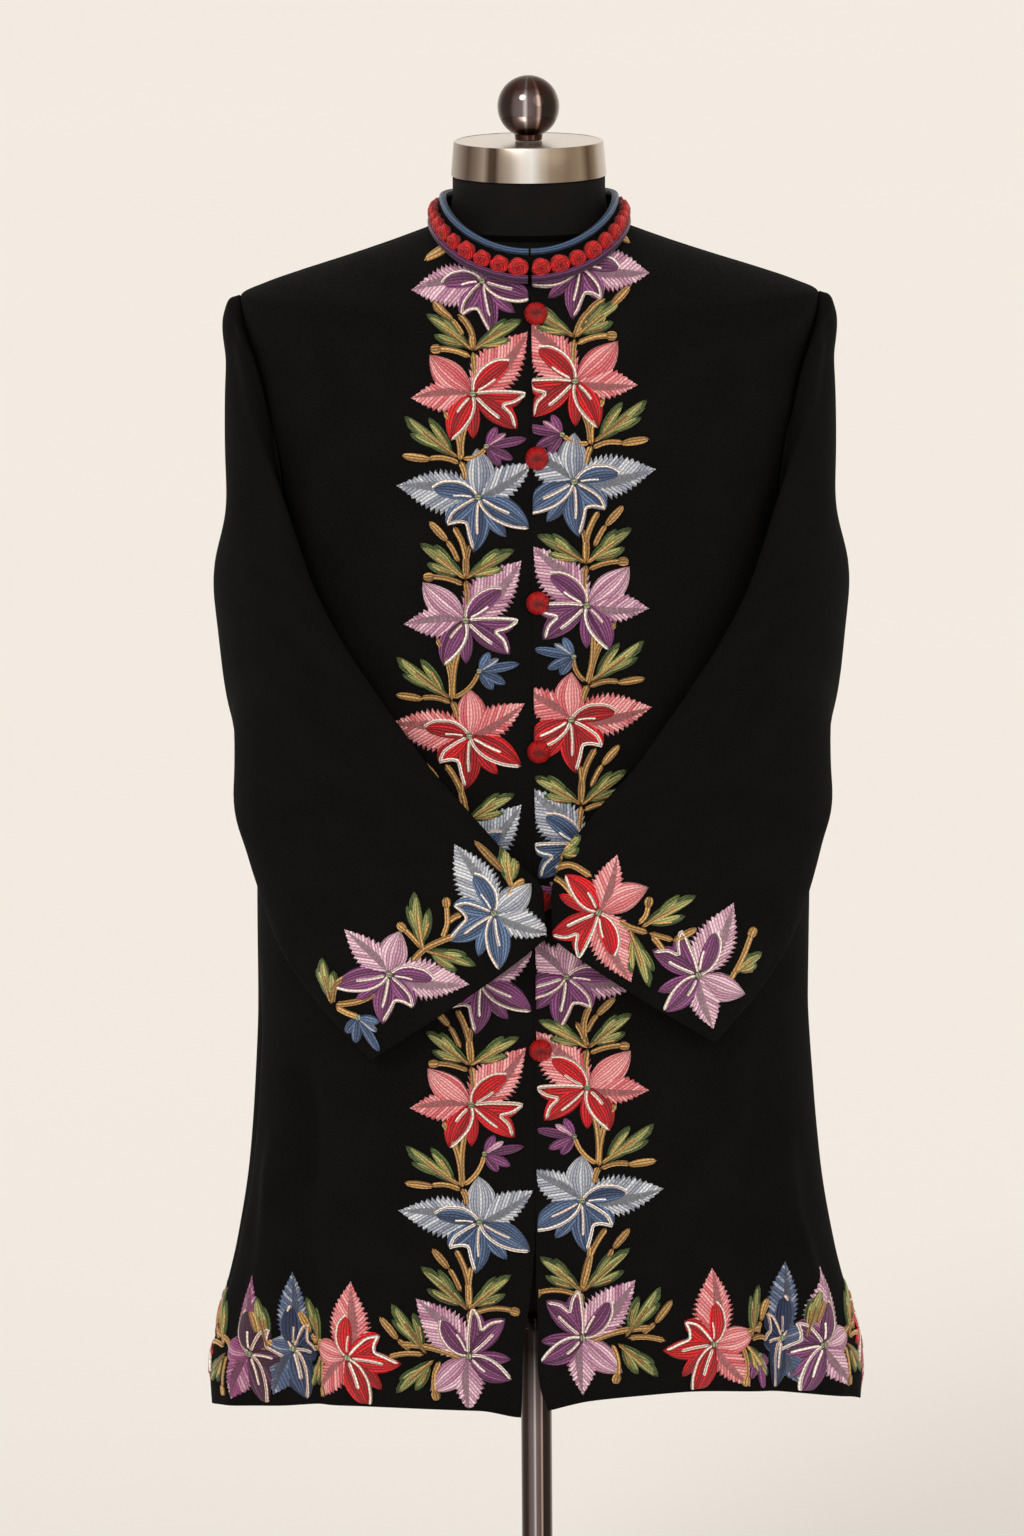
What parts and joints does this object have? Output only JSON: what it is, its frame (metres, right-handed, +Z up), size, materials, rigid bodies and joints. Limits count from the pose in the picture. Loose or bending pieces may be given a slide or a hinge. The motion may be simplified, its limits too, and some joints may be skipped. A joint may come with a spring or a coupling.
{
  "type": "embroidered jacket on a dress form",
  "caption": "Open-hollow embroidered jacket with stand collar and forward-pinned sleeves, worn by a limbless dress form on a telescoping pole with a round base.",
  "frame": {"origin": "centre of the base plate's underside, on the pole's axis", "axes": "+Z up along the pole; -Y is the jacket's front; +X is the wearer's left (the viewer's right)"},
  "size_m": [0.4613, 0.33, 1.2477],
  "materials": {
    "black_wool": "fine dull wool weave",
    "blue_thread": "silky wool chain stitch",
    "purple_thread": "silky wool chain stitch",
    "red_thread": "silky wool chain stitch",
    "leaf_thread": "silky wool chain stitch",
    "black_jersey": "smooth matt jersey cover",
    "brushed_cap": "brushed",
    "polished_metal": "polished",
    "base_paint": "satin black"
  },
  "bodies": {
    "stand": {"base_plate": "base_paint", "outer_tube": "polished_metal", "tube_collar": "polished_metal"},
    "rod": {"inner_rod": "base_paint"},
    "form": {"dress_form": "black_jersey", "neck_cap": "brushed_cap", "finial": "polished_metal", "front_left": "black_wool", "front_right": "black_wool", "back": "black_wool", "sleeve_left": "black_wool", "sleeve_right": "black_wool", "collar": "black_wool", "collar_top_cord": "blue_thread", "collar_base_cord": "purple_thread", "collar_balls": "red_thread", "button_1": "red_thread", "button_2": "red_thread", "button_3": "red_thread", "button_4": "red_thread", "button_5": "red_thread", "button_6": "red_thread"}
  },
  "joints": [
    {"name": "height_slide", "type": "slide", "parent": "stand", "child": "rod", "axis": [0, 0, 1], "range_m": [-0.09, 0.18]},
    {"name": "form_swivel", "type": "hinge", "parent": "rod", "child": "form", "pos_m": [0, 0, 0.52], "axis": [0, 0, 1], "continuous": true}
  ]
}
